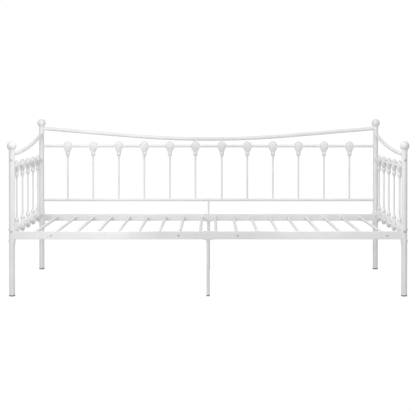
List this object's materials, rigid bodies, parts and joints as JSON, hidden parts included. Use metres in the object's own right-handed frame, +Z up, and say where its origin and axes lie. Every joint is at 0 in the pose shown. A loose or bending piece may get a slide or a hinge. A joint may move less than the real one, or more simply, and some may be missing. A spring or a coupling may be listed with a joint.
{
  "type": "daybed",
  "caption": "Tubular steel daybed with a curved back rail, spindle back and ends with cast rosettes, ball finials and a round-slat base on slim middle legs.",
  "frame": {"origin": "on the floor under the middle of the bed", "axes": "+X along the bed to the right seen from the open front, +Y from the open front to the back panel, +Z up"},
  "size_m": [2.095, 0.97, 0.921],
  "materials": {
    "frame_paint": "semi-gloss white powder coat",
    "casting_paint": "semi-gloss white powder coat on castings",
    "foot_plastic": "matt grey",
    "zinc_fasteners": "bright zinc plate",
    "sleeve_steel": "bare drawn steel"
  },
  "bodies": {
    "root": {"back_bow_rail": "frame_paint", "back_castings": "casting_paint", "back_center_strut": "frame_paint", "back_lower_rail": "frame_paint", "back_spindles": "frame_paint", "back_upper_rail": "frame_paint", "center_brackets": "frame_paint", "center_leg_caps": "foot_plastic", "center_leg_front": "frame_paint", "center_leg_rear": "frame_paint", "center_screws": "zinc_fasteners", "finial_back_left": "casting_paint", "finial_back_right": "casting_paint", "finial_front_left": "casting_paint", "finial_front_right": "casting_paint", "half_rail_back_left": "frame_paint", "half_rail_back_right": "frame_paint", "half_rail_front_left": "frame_paint", "half_rail_front_right": "frame_paint", "left_bow_rail": "frame_paint", "left_castings": "casting_paint", "left_lower_rail": "frame_paint", "left_spindles": "frame_paint", "left_upper_rail": "frame_paint", "post_back_left": "frame_paint", "post_back_right": "frame_paint", "post_foot_caps": "foot_plastic", "post_front_left": "frame_paint", "post_front_right": "frame_paint", "post_screws": "zinc_fasteners", "rail_bolts": "zinc_fasteners", "rail_saddle_back_left": "frame_paint", "rail_saddle_back_right": "frame_paint", "rail_saddle_front_left": "frame_paint", "rail_saddle_front_right": "frame_paint", "rail_sleeves": "sleeve_steel", "right_bow_rail": "frame_paint", "right_castings": "casting_paint", "right_lower_rail": "frame_paint", "right_spindles": "frame_paint", "right_upper_rail": "frame_paint", "saddle_bolts": "zinc_fasteners", "slat_01": "frame_paint", "slat_02": "frame_paint", "slat_03": "frame_paint", "slat_04": "frame_paint", "slat_05": "frame_paint", "slat_06": "frame_paint", "slat_07": "frame_paint", "slat_08": "frame_paint", "slat_09": "frame_paint", "slat_10": "frame_paint", "slat_11": "frame_paint", "slat_12": "frame_paint", "slat_13": "frame_paint", "slat_14": "frame_paint", "slat_15": "frame_paint", "slat_16": "frame_paint", "slat_17": "frame_paint", "slat_18": "frame_paint"}
  },
  "joints": []
}
